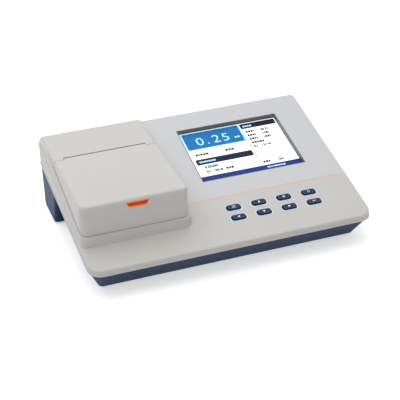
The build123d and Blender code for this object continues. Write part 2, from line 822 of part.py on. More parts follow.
def base_shell():
    """Blue lower housing: tapered tub, full-width rear block, tongue, posts, ribs and connector bay."""
    solid = base_hull(0, 0) + rear_block(0, 0)
    solid -= base_hull(wall, floor_thickness) + rear_block(wall, floor_thickness)
    tongue = body_column(lip_step + wall + seam_gap) - body_column(lip_step + 2 * wall)
    tongue &= between(lambda y: parting_z(y) - tongue_height, lambda y: parting_z(y) + tongue_height)
    for x, y in case_points:
        tongue -= Pos(x, y) * Cylinder(case_boss_radius + seam_gap, sky)
    solid += tongue
    inside = base_hull(wall / 2, floor_thickness / 2) + rear_block(wall / 2, floor_thickness / 2)
    for x, y in case_points:
        solid += Pos(x, y) * Cylinder(case_boss_radius, sky, align=STAND) & inside
    for x, y in main_board_points:
        post = Cylinder(boss_radius, main_board_height - floor_top + wall / 2, align=STAND)
        solid += Pos(x, y, floor_top - wall / 2) * post
        solid -= Pos(x, y, main_board_height) * Cylinder(screw_radius, 2 * (screw_bite + screw_hole_spare))
    solid += floor_ribs()
    solid += bay_box(wall) & between(lambda y: 0, parting_z)
    solid -= bay_box(0.0)
    for place, outline in socket_openings():
        solid -= bay_plane(place) * extrude(outline, amount=2 * wall, both=True)
    for x, y in case_points:
        solid -= Pos(x, y) * Cylinder(screw_radius + screw_pass, sky)
        solid -= Pos(x, y) * Cylinder(case_head_bore, 2 * (foot_proud + case_head_depth))
    for x, y in foot_points:
        solid -= Pos(x, y, foot_proud) * Cylinder(foot_diameter / 2, 2 * foot_recess)
    return solid


def floor_ribs():
    """Cross ribs that stiffen the floor in front of the cell holder and under it."""
    inner = base_side_setback + wall / 2
    low = floor_top - floor_thickness / 2
    first = front + rib_from_front
    ribs = [
        block(left + inner, right - inner, y, y + rib_thickness, low, floor_top + rib_height)
        for y in (first, first + rib_pitch)
    ]
    return ribs[0] + ribs[1]


def bay_box(grow):
    """Recess in the rear wall that the sockets stand in, grown on every side but the open one."""
    return block(
        bay_x - bay_width / 2 - grow,
        bay_x + bay_width / 2 + grow,
        bay_back_y - grow,
        rear - rear_setback if grow else rear,
        bay_middle_height - bay_height / 2 - grow,
        bay_middle_height + bay_height / 2 + grow,
    )


def bay_plane(place, lift=0.0):
    """Plane on the bay's inner wall, facing the rear, with local X to the right as seen from behind."""
    origin = (bay_x - place, bay_back_y + lift, bay_middle_height)
    return Plane(origin=origin, x_dir=(-1, 0, 0), z_dir=(0, 1, 0))


def usb_outline():
    """Outline of the USB socket with its two cut corners at the top."""
    outline = Rectangle(usb_width, usb_height)
    return chamfer(outline.vertices().group_by(Axis.Y)[-1], usb_chamfer)


def serial_outline():
    """D-shaped outline of the serial socket, wide at the top."""
    narrow = serial_height / 5
    outline = Polygon(
        (narrow - serial_width / 2, -serial_height / 2),
        (serial_width / 2 - narrow, -serial_height / 2),
        (serial_width / 2, serial_height / 2),
        (-serial_width / 2, serial_height / 2),
        align=None,
    )
    return fillet(outline.vertices(), serial_height / 4)


def serial_screw_places():
    """Places of the two hex studs beside the serial socket."""
    return [serial_socket_place + side * serial_screw_spread / 2 for side in (-1, 1)]


def socket_openings():
    """Place and outline of each opening in the bay's inner wall."""
    openings = [
        (power_jack_place, Circle(power_jack_radius + socket_fit)),
        (usb_socket_place, offset(usb_outline(), socket_fit)),
        (serial_socket_place, offset(serial_outline(), socket_fit)),
    ]
    openings += [(place, Circle(screw_radius + screw_pass)) for place in serial_screw_places()]
    return openings


def power_jack():
    """Round jack for the plug of a mains adapter, with its centre pin."""
    body = Cylinder(power_jack_radius, power_jack_length + wall, align=HANG)
    body = Pos(0, 0, power_jack_length) * body
    body += Cylinder(power_jack_radius + power_jack_flange, power_jack_flange, align=STAND)
    body -= Cylinder(power_jack_bore, power_jack_length + wall / 2, align=STAND)
    body -= Cylinder(power_jack_bore, wall / 2, align=HANG)
    pin = Cylinder(power_jack_pin, power_jack_length, align=STAND)
    return bay_plane(power_jack_place) * (body + Pos(0, 0, -wall / 2) * pin)


def usb_socket():
    """USB socket: metal shell with the contact tongue inside."""
    outer = usb_outline()
    shell = Pos(0, 0, usb_length) * extrude(outer, amount=-(usb_length + wall))
    shell -= Pos(0, 0, usb_length) * extrude(offset(outer, -shell_wall), amount=-(usb_length + wall / 2))
    tongue = Box(usb_width / 2, usb_height / 3, usb_length + wall / 2 - shell_wall, align=STAND)
    return bay_plane(usb_socket_place) * (shell + Pos(0, 0, -wall / 2) * tongue)


def serial_socket():
    """Nine-pin serial socket: plate, D-shaped shell and two rows of pins."""
    plate = RectangleRounded(serial_plate_width, serial_plate_height, serial_plate_thickness)
    for side in (-1, 1):
        plate -= Pos(side * serial_screw_spread / 2, 0) * Circle(screw_radius + screw_pass)
    outer = serial_outline()
    shell = Pos(0, 0, serial_length) * extrude(outer, amount=-(serial_length + wall))
    shell += extrude(plate, amount=serial_plate_thickness)
    shell -= Pos(0, 0, serial_length) * extrude(offset(outer, -shell_wall), amount=-serial_length)
    for count, row in ((5, 0.5), (4, -0.5)):
        for n in range(count):
            x = (n - (count - 1) / 2) * serial_pin_pitch
            pin = Cylinder(serial_pin_radius, serial_length - 2 * shell_wall, align=STAND)
            shell += Pos(x, row * serial_row_pitch) * pin
    return bay_plane(serial_socket_place) * shell


def hex_studs():
    """Two hex studs that hold the serial socket and the connector board to the wall."""
    hexagon = RegularPolygon(hex_across / 2, 6, major_radius=False)
    head = extrude(hexagon, amount=hex_length)
    shank = Cylinder(screw_radius, serial_plate_thickness + wall + 2 * board_thickness, align=HANG)
    return [bay_plane(place, serial_plate_thickness) * (head + shank) for place in serial_screw_places()]


def connector_board():
    """Upright board behind the bay that carries the sockets."""
    board = RectangleRounded(connector_board_width, connector_board_height, board_thickness)
    for place in serial_screw_places():
        board -= Pos(place, 0) * Circle(screw_radius + screw_pass)
    return bay_plane(0.0, -wall) * extrude(board, amount=-board_thickness)


def main_board():
    """Main circuit board."""
    outline = Pos(main_board_x, main_board_y) * RectangleRounded(
        main_board_width, main_board_depth, main_screw_inset / 2
    )
    for x, y in main_board_points:
        outline -= Pos(x, y) * Circle(screw_radius + screw_pass)
    return Pos(0, 0, main_board_height) * extrude(outline, amount=board_thickness)


def board_components():
    """Larger components that stand on the main board."""
    across = main_board_width / 8
    along = main_board_depth / 6
    processor = extrude(RectangleRounded(across, across, board_thickness / 2), amount=board_thickness)
    memory = Box(across, along / 2, board_thickness, align=STAND)
    capacitor = Cylinder(along / 4, along * 0.8, align=STAND)
    capacitor = chamfer(capacitor.edges().group_by(Axis.Z)[-1], along / 20)
    header = Box(2 * across, along / 2, along / 2, align=STAND)
    header -= Pos(0, 0, board_thickness) * Box(2 * across - board_thickness, along / 4, along, align=STAND)
    inductor = extrude(RectangleRounded(along, along, along / 5), amount=along / 2)
    middle = Pos(main_board_x, main_board_y, main_board_top)
    pieces = [
        middle * processor,
        middle * Pos(1.5 * across, 0) * memory,
        middle * Pos(-2 * across, 0) * inductor,
    ]
    for n in (-1, 0, 1):
        pieces.append(middle * Pos(-2 * across + n * along, -1.5 * along) * capacitor)
    for x in (-1.5, 1.5):
        pieces.append(middle * Pos(x * across, 2 * along) * header)
    return pieces


def board_screws():
    """Four screws of the main board."""
    length = board_thickness + screw_bite
    return [screw(Plane(origin=(x, y, main_board_top)), length) for x, y in main_board_points]


def rubber_feet():
    """Four rubber feet seated in the floor's recesses."""
    disc = Cylinder(foot_diameter / 2, foot_proud + foot_recess, align=STAND)
    disc = chamfer(disc.edges().group_by(Axis.Z)[0], foot_edge)
    return [Pos(x, y) * disc for x, y in foot_points]


def case_screws():
    """Screws that come up through the base into the top shell."""
    seat = foot_proud + case_head_depth
    return [Pos(x, y, seat) * upward_screw(parting_z(y) - seat) for x, y in case_points]


def save(name, *solids):
    """Write one node."""
    shape = Compound(children=list(solids)) if len(solids) > 1 else solids[0]
    export_step(shape, f"parts/{name}.step")


def build():
    """Make every node."""
    os.makedirs("parts", exist_ok=True)
    save("top_shell", top_shell())
    save("base_shell", base_shell())
    save("sample_lid", sample_lid())
    save("finger_pull", finger_pull())
    save("lid_liner", lid_liner())
    save("liner_screws", *liner_screws())
    save("lid_seal", lid_seal())
    save("hinge_pin_left", hinge_pin(-1))
    save("hinge_pin_right", hinge_pin(1))
    save("sample_tray", sample_tray())
    save("cell_holder", cell_holder())
    save("holder_screws", *holder_screws())
    save("collimating_lens", collimating_lens())
    save("lamp", lamp())
    save("lamp_socket", lamp_socket())
    save("transmitted_light_detector", detector(180))
    save("scattered_light_detector", detector(90))
    save("display_bezel", display_bezel())
    save("display_window", display_window())
    save("display_module", display_module())
    save("clamp_frame", clamp_frame())
    save("clamp_screws", *clamp_screws())
    for name, x, y in key_places():
        save(f"key_{name}", key(x, y))
    save("key_board", key_board())
    save("key_switches", *key_switches())
    save("key_board_screws", *key_board_screws())
    save("main_board", main_board())
    save("board_components", *board_components())
    save("board_screws", *board_screws())
    save("connector_board", connector_board())
    save("power_jack", power_jack())
    save("usb_socket", usb_socket())
    save("serial_socket", serial_socket())
    save("hex_studs", *hex_studs())
    save("rubber_feet", *rubber_feet())
    save("case_screws", *case_screws())


build()
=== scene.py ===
import math

import bmesh
import bpy
from bpy.props import FloatProperty, FloatVectorProperty, PointerProperty
from bpy.types import Operator, Panel, PropertyGroup
from mathutils import Matrix, Vector


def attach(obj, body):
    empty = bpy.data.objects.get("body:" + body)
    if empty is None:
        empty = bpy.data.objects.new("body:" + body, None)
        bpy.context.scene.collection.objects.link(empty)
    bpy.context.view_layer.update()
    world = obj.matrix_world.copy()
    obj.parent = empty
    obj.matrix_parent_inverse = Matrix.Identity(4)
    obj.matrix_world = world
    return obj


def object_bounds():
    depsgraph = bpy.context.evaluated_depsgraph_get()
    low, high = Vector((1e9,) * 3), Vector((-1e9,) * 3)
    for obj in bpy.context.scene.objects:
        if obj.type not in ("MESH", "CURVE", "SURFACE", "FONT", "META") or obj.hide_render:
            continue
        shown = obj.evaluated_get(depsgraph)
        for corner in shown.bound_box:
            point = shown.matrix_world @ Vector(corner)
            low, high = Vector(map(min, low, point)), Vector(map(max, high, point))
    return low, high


bl_info = {
    "name": "Turbidity meter finish",
    "version": (1, 0, 0),
    "blender": (4, 5, 0),
    "location": "View3D > Sidebar > Turbidity meter",
    "description": "Materials, printed marks, lit screen and studio for a bench turbidity meter",
    "category": "Object",
}

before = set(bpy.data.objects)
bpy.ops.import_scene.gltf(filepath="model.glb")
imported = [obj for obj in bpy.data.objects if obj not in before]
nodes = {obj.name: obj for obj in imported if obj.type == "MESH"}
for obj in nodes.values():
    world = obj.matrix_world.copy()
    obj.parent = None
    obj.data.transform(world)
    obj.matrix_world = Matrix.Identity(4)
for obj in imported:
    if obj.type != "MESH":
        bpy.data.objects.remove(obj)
cad_low, cad_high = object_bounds()

MM = 0.001
TILT = math.radians(12.8)
ACROSS = Vector((1, 0, 0))
UPHILL = Vector((0, math.cos(TILT), math.sin(TILT)))
NORMAL = Vector((0, -math.sin(TILT), math.cos(TILT)))
KEYS = ("mode", "up", "adjust", "power", "left", "down", "right", "enter")

# Print, in millimetres: rise from one layer to the next, and height below which digits are set bolder
PRINT_STEP = 0.02
SMALL_DIGITS = 6.0

# Digits: size of the font and growth of a bolder outline, as shares of the digit's height, and spacing
FONT_SIZE = 1.38
BOLDER = 0.08
DIGIT_SPACING = 1.05

# Half width, half height and corner radius of the pale lines on and round a key, which are painted
# highlights, in millimetres
KEY_RIM_HIGHLIGHT = (5.4, 2.35, 1.3)
KEY_RIM_HIGHLIGHT_WIDTH = 0.28
RING_HIGHLIGHT_OUTER = (9.1, 5.2, 3.9)
RING_HIGHLIGHT_INNER = (8.2, 4.3, 3.4)

# Panel film: start left of the printed line's end, in metres, and least Z of the way that its surface faces
FILM_MARGIN = 0.004
FILM_UPWARD = 0.95

# Camera: place from the front edge's middle at table height, in metres, and azimuth, tilt down and roll
CAMERA_PLACE = (-0.34566, -0.92627, 0.64319)
CAMERA_ANGLES = (18.43, 29.58, -2.07)

# Lamp: place and side, in metres
LAMP_PLACE = (-0.2, 0.45, 1.5)
LAMP_SIZE = 2.0


def paint(red, green, blue):
    """Scene colour of a display colour given from 0 to 255."""
    out = []
    for value in (red, green, blue):
        share = value / 255
        out.append(share / 12.92 if share <= 0.04045 else ((share + 0.055) / 1.055) ** 2.4)
    return (*out, 1.0)


def colour_property(name, description, default):
    """Colour setting with its default."""
    return FloatVectorProperty(
        name=name, description=description, default=default, size=4, subtype="COLOR", min=0, max=1
    )


def length_property(name, description, default):
    """Length setting with its default, in metres."""
    return FloatProperty(name=name, description=description, default=default, unit="LENGTH", min=0)


# Settings


class MeterColours(PropertyGroup):
    """Colours of the mouldings, the prints and the screen."""

    housing: colour_property("Housing", "Warm white of the housing and the lid", paint(193, 191, 187))
    film: colour_property("Panel film", "Cool white of the panel behind the line", paint(196, 197, 200))
    base: colour_property("Base", "Blue of the lower housing", paint(30, 58, 92))
    pull: colour_property("Finger pull", "Orange of the finger pull", paint(250, 140, 78))
    line: colour_property("Printed line", "Colour of the line across the panel", paint(228, 168, 136))
    keys: colour_property("Keys", "Blue of the key caps", paint(15, 40, 74))
    # Painted highlight: pale line standing in for light on the edge round a key's middle
    key_rim_highlight: colour_property("Key edge", "Line round the middle of a key", paint(66, 104, 146))
    key_ring_highlight: colour_property("Key surround", "Pale print round each key", paint(214, 226, 238))
    # Painted highlight: pale ring standing in for light on the gap round each key
    marks: colour_property("Key marks", "Print on the keys", paint(232, 240, 248))
    bezel: colour_property("Bezel", "Grey of the frame round the screen", paint(112, 112, 112))
    inside: colour_property("Inside", "Black of the tray, liner and cell holder", paint(30, 30, 32))
    reading: colour_property("Reading", "Blue field behind the large reading", paint(10, 108, 172))
    heading: colour_property("Heading", "Dark bars of the screen", paint(12, 12, 60))
    status: colour_property("Status bar", "Bar along the bottom of the screen", paint(14, 48, 122))
    page: colour_property("Page", "White of the screen", paint(246, 248, 250))
    halo: colour_property("Halo", "Pale frame round the reading", paint(176, 224, 246))
    ink: colour_property("Ink", "Small marks on the white of the screen", paint(18, 18, 24))


class MeterSizes(PropertyGroup):
    """Sizes of the printed marks and of the screen's picture."""

    screen_width: length_property("Screen width", "Width of the lit picture", 0.1148)
    screen_height: length_property("Screen height", "Height of the lit picture", 0.0871)
    reading_height: length_property("Reading height", "Height of the large digits", 0.0133)
    line_width: length_property("Line width", "Width of the printed line", 0.0009)
    line_from_front: length_property("Line from front", "Distance of the line from the front edge", 0.0675)
    line_start: length_property("Line start", "Distance of the line's left end from the left edge", 0.1225)
    line_end: length_property("Line end", "Distance of the line's right end from the left edge", 0.2897)
    print_lift: length_property("Print lift", "Height of a print above the surface", 0.00003)
    mark_size: length_property("Mark size", "Height of a mark on a key", 0.0030)


class MeterStage(PropertyGroup):
    """Camera, light and floor."""

    lens: FloatProperty(
        name="Lens", description="Focal length of the camera", default=105.94, unit="CAMERA"
    )
    sky_light: FloatProperty(name="Sky light", description="Light from all round", default=0.66, min=0)
    key_light: FloatProperty(
        name="Key light", description="Power of the large lamp", default=17.0, unit="POWER"
    )
    floor_glow: FloatProperty(
        name="Floor glow", description="White added to the floor in the picture", default=0.5, min=0
    )
    floor_size: length_property("Floor size", "Side of the floor", 14.0)


# Tools for meshes


def panel_place(across, uphill, lift):
    """Point given along the panel, up its slope and off its surface, each from the origin's planes."""
    return ACROSS * across + UPHILL * uphill + NORMAL * lift


def panel_extent(name):
    """Lowest and highest reach of a CAD node along the panel, up its slope and off its surface."""
    reach = [[], [], []]
    for vertex in nodes[name].data.vertices:
        for values, direction in zip(reach, (ACROSS, UPHILL, NORMAL)):
            values.append(vertex.co.dot(direction))
    return Vector([min(v) for v in reach]), Vector([max(v) for v in reach])


def new_piece(name, mesh_builder, materials, body):
    """Add an object made from a bmesh that the builder fills, riding on a body."""
    mesh = bpy.data.meshes.new(name)
    bm = bmesh.new()
    mesh_builder(bm)
    bm.to_mesh(mesh)
    bm.free()
    for material in materials:
        mesh.materials.append(material)
    piece = bpy.data.objects.new(name, mesh)
    bpy.context.scene.collection.objects.link(piece)
    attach(piece, body)


class Sheet:
    """Flat drawing in millimetres on a plane parallel to the panel, built into a bmesh."""

    def __init__(self, bm, across, uphill, lift):
        self.bm = bm
        self.origin = (across, uphill, lift)
        self.uv = bm.loops.layers.uv.verify()

    def shape(self, points, finish, step=0):
        """Filled outline, counterclockwise, raised by a number of print steps."""
        across, uphill, lift = self.origin
        rise = step * PRINT_STEP * MM
        corners = [
            self.bm.verts.new(panel_place(across + x * MM, uphill + y * MM, lift + rise)) for x, y in points
        ]
        face = self.bm.faces.new(corners)
        face.material_index = finish
        for loop, (x, y) in zip(face.loops, points):
            loop[self.uv].uv = (x, y)

    def bar(self, x1, y1, x2, y2, finish, step=0, radius=0.0):
        """Rectangle with square corners, or with round ones where a radius is given."""
        points = [(x1, y1), (x2, y1), (x2, y2), (x1, y2)]
        if radius > 0:
            outline = rounded_outline((x2 - x1) / 2, (y2 - y1) / 2, radius, corner_points=5)
            points = [((x1 + x2) / 2 + x, (y1 + y2) / 2 + y) for x, y in outline]
        self.shape(points, finish, step)

    def band(self, outer, inner, finish, closed=True):
        """Band between two lines of the same number of points, round to its start or open."""
        count = len(outer)
        for n in range(count if closed else count - 1):
            m = (n + 1) % count
            self.shape([outer[n], outer[m], inner[m], inner[n]], finish)

    def text(self, digits, height, x, y, finish, step=0):
        """Plain digits with their lower left corner at a point."""
        curve = bpy.data.curves.new("digits", "FONT")
        curve.body = digits
        curve.size = height * FONT_SIZE
        curve.space_character = DIGIT_SPACING
        curve.offset = BOLDER * height if height < SMALL_DIGITS else 0
        holder = bpy.data.objects.new("digits", curve)
        bpy.context.scene.collection.objects.link(holder)
        bpy.context.view_layer.update()
        mesh = bpy.data.meshes.new_from_object(holder.evaluated_get(bpy.context.evaluated_depsgraph_get()))
        for polygon in mesh.polygons:
            points = [mesh.vertices[v].co for v in polygon.vertices]
            self.shape([(x + p.x, y + p.y) for p in points], finish, step)
        bpy.data.objects.remove(holder)
        bpy.data.curves.remove(curve)
        bpy.data.meshes.remove(mesh)


def rounded_outline(half_width, half_height, radius, corner_points=6):
    """Points of a rectangle with round corners about the origin."""
    points = []
    for quarter, (sx, sy) in enumerate(((1, 1), (-1, 1), (-1, -1), (1, -1))):
        centre = (sx * (half_width - radius), sy * (half_height - radius))
        for n in range(corner_points):
            angle = math.pi / 2 * (quarter + n / (corner_points - 1))
            points.append((centre[0] + radius * math.cos(angle), centre[1] + radius * math.sin(angle)))
    return points


def circle(radius, count=28, start=0.0, turn=math.tau):
    """Points on a circle about the origin, or on an arc of it."""
    steps = count if turn == math.tau else count - 1
    angles = [start + turn * n / steps for n in range(count)]
    return [(radius * math.cos(angle), radius * math.sin(angle)) for angle in angles]


# Tools for materials


class Finish:
    """Material under construction, with its node tree and main shader."""

    def __init__(self, name):
        self.material = bpy.data.materials.new(name)
        self.material.use_nodes = True
        self.tree = self.material.node_tree
        self.shader = self.tree.nodes["Principled BSDF"]
        self.place = self.add("ShaderNodeTexCoord").outputs["Object"]

    def add(self, kind, **settings):
        """New node with its settings."""
        node = self.tree.nodes.new(kind)
        for name, value in settings.items():
            setattr(node, name, value)
        return node

    def join(self, source, target):
        """Link from an output to an input."""
        self.tree.links.new(source, target)

    def noise(self, size, detail, stretch=(1, 1, 1)):
        """Value of a noise whose grain has a size in metres."""
        mapping = self.add("ShaderNodeMapping")
        mapping.inputs["Scale"].default_value = stretch
        self.join(self.place, mapping.inputs["Vector"])
        node = self.add("ShaderNodeTexNoise")
        node.inputs["Scale"].default_value = 1 / size
        node.inputs["Detail"].default_value = detail
        self.join(mapping.outputs["Vector"], node.inputs["Vector"])
        return node.outputs["Fac"]

    def range(self, value, low, high, start=0.3, end=0.7):
        """Value moved from one range to another."""
        node = self.add("ShaderNodeMapRange")
        node.inputs["From Min"].default_value = start
        node.inputs["From Max"].default_value = end
        node.inputs["To Min"].default_value = low
        node.inputs["To Max"].default_value = high
        self.join(value, node.inputs["Value"])
        return node.outputs["Result"]

    def above(self, value, limit):
        """1 where a value is above a limit, otherwise 0."""
        node = self.add("ShaderNodeMath", operation="GREATER_THAN")
        node.inputs[1].default_value = limit
        self.join(value, node.inputs[0])
        return node.outputs[0]

    def product(self, first, second):
        """Product of two outputs."""
        node = self.add("ShaderNodeMath", operation="MULTIPLY")
        self.join(first, node.inputs[0])
        self.join(second, node.inputs[1])
        return node.outputs[0]

    def mix(self, share, first, second):
        """Colour between two colours, each a value or an output."""
        node = self.add("ShaderNodeMix", data_type="RGBA")
        inputs = [node.inputs[0], node.inputs[6], node.inputs[7]]
        for socket, value in zip(inputs, (share, first, second)):
            if isinstance(value, bpy.types.NodeSocket):
                self.join(value, socket)
            else:
                socket.default_value = value
        return node.outputs[2]

    def shade(self, colour, factor):
        """Colour made darker or lighter by a factor."""
        return tuple(min(1.0, c * factor) for c in colour[:3]) + (1.0,)

    def mottled(self, colour, amount, size):
        """Colour that varies a little in large soft patches."""
        share = self.range(self.noise(size, detail=3.0), 0.0, 1.0)
        return self.mix(share, self.shade(colour, 1 - amount), self.shade(colour, 1 + amount))

    def edge_highlighted(self, colour, lighter, strength=0.35):
        """Colour with a painted highlight that turns lighter along sharp outer edges."""
        geometry = self.add("ShaderNodeNewGeometry")
        edge = self.range(geometry.outputs["Pointiness"], 0.0, strength, start=0.52, end=0.62)
        return self.mix(edge, colour, lighter)

    def colour(self, source):
        """Base colour of the material, from an output."""
        self.join(source, self.shader.inputs["Base Color"])

    def rough(self, low, high, size):
        """Roughness that varies between two values."""
        self.join(self.range(self.noise(size, detail=2.0), low, high), self.shader.inputs["Roughness"])

    def relief(self, height, distance, strength):
        """Bump from a height value."""
        node = self.add("ShaderNodeBump")
        node.inputs["Distance"].default_value = distance
        node.inputs["Strength"].default_value = strength
        self.join(height, node.inputs["Height"])
        self.join(node.outputs["Normal"], self.shader.inputs["Normal"])

    def fixed(self, **values):
        """Values that are the same all over the surface, with underscores for spaces."""
        for name, value in values.items():
            self.shader.inputs[name.replace("_", " ")].default_value = value


def moulded(name, colour, roughness, grain, depth, mottle=0.015, gloss=0.4):
    """Injection-moulded plastic with a fine spark texture."""
    finish = Finish(name)
    base = finish.mottled(colour, amount=mottle, size=0.03)
    # Painted highlight: sharp outer edges turn lighter, as if they caught the light
    finish.colour(finish.edge_highlighted(base, finish.shade(colour, 1.12)))
    finish.rough(roughness - 0.04, roughness + 0.05, size=grain * 6)
    finish.relief(finish.noise(grain, detail=3.0), distance=depth, strength=0.5)
    finish.fixed(IOR=1.5, Specular_IOR_Level=gloss)
    return finish.material


def housing_finish(colours, sizes):
    """White housing plastic whose panel carries a cool film behind the printed line."""
    finish = Finish("housing_white")
    warm = finish.mottled(colours.housing, amount=0.012, size=0.04)
    cool = finish.mottled(colours.film, amount=0.008, size=0.05)
    place = finish.add("ShaderNodeSeparateXYZ")
    finish.join(finish.place, place.inputs[0])
    facing = finish.add("ShaderNodeSeparateXYZ")
    finish.join(finish.add("ShaderNodeTexCoord").outputs["Normal"], facing.inputs[0])
    behind = finish.above(place.outputs["Y"], cad_low.y + sizes.line_from_front)
    beside = finish.above(place.outputs["X"], cad_low.x + sizes.line_start - FILM_MARGIN)
    upward = finish.above(facing.outputs["Z"], FILM_UPWARD)
    area = finish.product(finish.product(behind, beside), upward)
    base = finish.mix(area, warm, cool)
    # Painted highlight: sharp outer edges of the housing turn lighter, as if they caught the light
    finish.colour(finish.edge_highlighted(base, finish.shade(colours.housing, 1.1), strength=0.25))
    finish.rough(0.42, 0.52, size=0.004)
    finish.relief(finish.noise(0.00045, detail=3.0), distance=0.00003, strength=0.35)
    finish.fixed(IOR=1.5, Specular_IOR_Level=0.4)
    return finish.material


def metal(name, colour, roughness, grain, stretch):
    """Plated metal with fine drawn lines."""
    finish = Finish(name)
    lines = finish.noise(grain, detail=4.0, stretch=stretch)
    share = finish.range(lines, 0.0, 1.0)
    finish.colour(finish.mix(share, finish.shade(colour, 0.86), finish.shade(colour, 1.08)))
    finish.join(finish.range(lines, roughness - 0.06, roughness + 0.1), finish.shader.inputs["Roughness"])
    finish.relief(lines, distance=0.000008, strength=0.4)
    finish.fixed(Metallic=1.0)
    return finish.material


def rubber(name, colour, grain):
    """Matt rubber or foam with open pores."""
    finish = Finish(name)
    finish.colour(finish.mottled(colour, amount=0.12, size=grain * 8))
    finish.rough(0.78, 0.92, size=grain * 3)
    finish.relief(finish.noise(grain, detail=5.0), distance=grain * 0.2, strength=0.6)
    finish.fixed(Specular_IOR_Level=0.25)
    return finish.material


def clear(name, alpha, roughness):
    """Clear glass or clear sheet with faint smears."""
    finish = Finish(name)
    finish.rough(roughness, roughness + 0.05, size=0.02)
    finish.relief(finish.noise(0.012, detail=2.0), distance=0.00001, strength=0.15)
    finish.fixed(Alpha=alpha, IOR=1.49, Specular_IOR_Level=0.12)
    finish.colour(finish.mottled(paint(238, 243, 247), amount=0.01, size=0.02))
    return finish.material


def circuit_board():
    """Green board with faint copper tracks under its lacquer."""
    finish = Finish("circuit_board")
    brick = finish.add("ShaderNodeTexBrick", offset=0.5)
    brick.inputs["Scale"].default_value = 260
    brick.inputs["Mortar Size"].default_value = 0.06
    brick.inputs["Color1"].default_value = paint(18, 92, 50)
    brick.inputs["Color2"].default_value = paint(20, 84, 46)
    brick.inputs["Mortar"].default_value = paint(44, 122, 74)
    finish.join(finish.place, brick.inputs["Vector"])
    finish.colour(brick.outputs["Color"])
    finish.rough(0.2, 0.34, size=0.01)
    finish.relief(brick.outputs["Fac"], distance=0.00003, strength=0.4)
    finish.fixed(Coat_Weight=0.4, Coat_Roughness=0.1)
    return finish.material


def lit(name, colour, strength):
    """Field of the lit screen with its lattice of picture points."""
    finish = Finish(name)
    lattice = finish.add("ShaderNodeTexBrick", offset=0.0)
    lattice.inputs["Scale"].default_value = 5.5
    lattice.inputs["Mortar Size"].default_value = 0.04
    lattice.inputs["Brick Width"].default_value = 1.0
    lattice.inputs["Row Height"].default_value = 1.0
    lattice.inputs["Color1"].default_value = colour
    lattice.inputs["Color2"].default_value = finish.shade(colour, 0.985)
    lattice.inputs["Mortar"].default_value = finish.shade(colour, 0.9)
    uv = finish.add("ShaderNodeTexCoord")
    finish.join(uv.outputs["UV"], lattice.inputs["Vector"])
    finish.colour(lattice.outputs["Color"])
    finish.join(lattice.outputs["Color"], finish.shader.inputs["Emission Color"])
    finish.rough(0.28, 0.36, size=0.01)
    finish.fixed(Emission_Strength=strength, Specular_IOR_Level=0.05)
    return finish.material


def printed(name, colour):
    """Screen-printed ink with slightly uneven cover."""
    finish = Finish(name)
    finish.colour(finish.mottled(colour, amount=0.03, size=0.002))
    finish.rough(0.38, 0.5, size=0.001)
    finish.relief(finish.noise(0.0003, detail=2.0), distance=0.000006, strength=0.4)
    return finish.material


def dress(material, *names):
    """Put one material on CAD nodes."""
    for name in names:
        nodes[name].data.materials.clear()
        nodes[name].data.materials.append(material)


# Pieces


class METER_OT_housing(Operator):
    """Finish the white housing, the lid and the blue base"""

    bl_idname = "meter.housing"
    bl_label = "Housing"

    def execute(self, context):
        colours, sizes = context.scene.meter_colours, context.scene.meter_sizes
        dress(housing_finish(colours, sizes), "top_shell")
        lid = moulded("lid_white", colours.housing, roughness=0.46, grain=0.00045, depth=0.00003)
        dress(lid, "sample_lid")
        base = moulded(
            "base_blue", colours.base, roughness=0.5, grain=0.0005, depth=0.00003, mottle=0.03, gloss=0.12
        )
        dress(base, "base_shell")
        bezel = moulded("bezel_grey", colours.bezel, roughness=0.5, grain=0.0004, depth=0.00002)
        dress(bezel, "display_bezel")
        dress(rubber("foot_rubber", paint(36, 36, 38), grain=0.0004), "rubber_feet")
        return {"FINISHED"}


class METER_OT_pull(Operator):
    """Finish the orange finger pull"""

    bl_idname = "meter.finger_pull"
    bl_label = "Finger pull"

    def execute(self, context):
        colour = context.scene.meter_colours.pull
        pull = moulded("pull_orange", colour, roughness=0.3, grain=0.0005, depth=0.00001)
        dress(pull, "finger_pull")
        return {"FINISHED"}


class METER_OT_compartment(Operator):
    """Finish the black tray, liner, cell holder and seal"""

    bl_idname = "meter.compartment"
    bl_label = "Sample compartment"

    def execute(self, context):
        black = context.scene.meter_colours.inside
        tray = moulded("tray_black", black, roughness=0.6, grain=0.0007, depth=0.00005, mottle=0.08)
        dress(tray, "sample_tray", "lid_liner")
        holder = moulded("holder_black", black, roughness=0.68, grain=0.0004, depth=0.00003, mottle=0.08)
        dress(holder, "cell_holder")
        dress(rubber("seal_foam", paint(26, 26, 28), grain=0.0006), "lid_seal")
        dress(clear("lens_glass", alpha=0.35, roughness=0.02), "collimating_lens", "lamp")
        can = paint(196, 190, 170)
        sensor = metal("sensor_can", can, roughness=0.3, grain=0.0004, stretch=(1, 1, 6))
        dress(sensor, "transmitted_light_detector", "scattered_light_detector")
        dark = paint(34, 34, 36)
        socket = moulded("socket_black", dark, roughness=0.42, grain=0.0006, depth=0.00002, mottle=0.05)
        dress(socket, "lamp_socket")
        return {"FINISHED"}


class METER_OT_hardware(Operator):
    """Finish the screws, pins, boards and sockets"""

    bl_idname = "meter.hardware"
    bl_label = "Fasteners and boards"

    def execute(self, context):
        grey = paint(186, 186, 190)
        zinc = metal("zinc_steel", grey, roughness=0.32, grain=0.0003, stretch=(5, 1, 1))
        dress(zinc, "liner_screws", "holder_screws", "clamp_screws", "key_board_screws", "board_screws")
        dress(zinc, "case_screws", "hinge_pin_left", "hinge_pin_right", "hex_studs", "clamp_frame")
        silver = paint(198, 198, 196)
        nickel = metal("nickel_shell", silver, roughness=0.26, grain=0.0005, stretch=(1, 6, 1))
        dress(nickel, "usb_socket", "serial_socket")
        dress(circuit_board(), "main_board", "key_board", "connector_board")
        dark = paint(40, 40, 42)
        black = moulded("component_black", dark, roughness=0.4, grain=0.0005, depth=0.00002, mottle=0.06)
        dress(black, "board_components", "key_switches", "power_jack")
        return {"FINISHED"}


